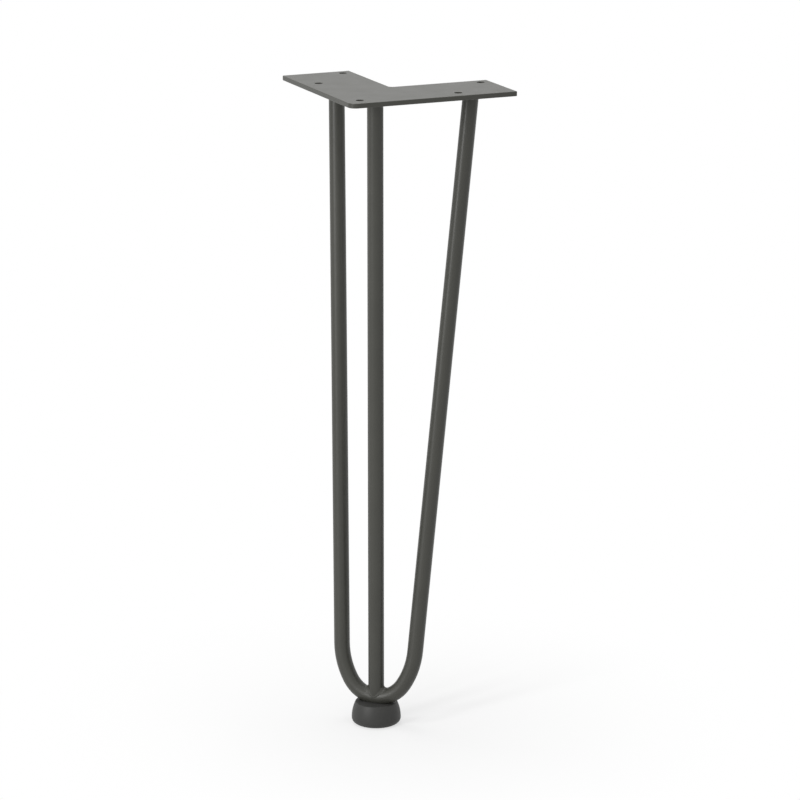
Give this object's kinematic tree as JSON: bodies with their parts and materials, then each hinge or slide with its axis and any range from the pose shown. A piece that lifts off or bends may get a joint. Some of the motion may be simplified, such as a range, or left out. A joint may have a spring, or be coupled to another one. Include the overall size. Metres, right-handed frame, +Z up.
{
  "type": "hairpin table leg",
  "caption": "Steel table leg of a bent hairpin rod and an upright corner rod under an L-shaped screw plate, on a moulded bell foot.",
  "frame": {"origin": "on the plate's top mounting face, on the axis of the corner rod and the foot", "axes": "+Z up into the table top, out of the mounting face; +Y from the plate's outer corner inwards along its diagonal; +X to the right, so that the leg is the same on both sides of X = 0 and hangs below the origin"},
  "size_m": [0.155, 0.1073, 0.404],
  "materials": {
    "coated_steel": "satin anthracite powder coat",
    "foot_plastic": "moulded, matt"
  },
  "bodies": {
    "root": {"mounting_plate": "coated_steel", "hairpin_rod": "coated_steel", "corner_rod": "coated_steel", "foot": "foot_plastic"}
  },
  "joints": []
}
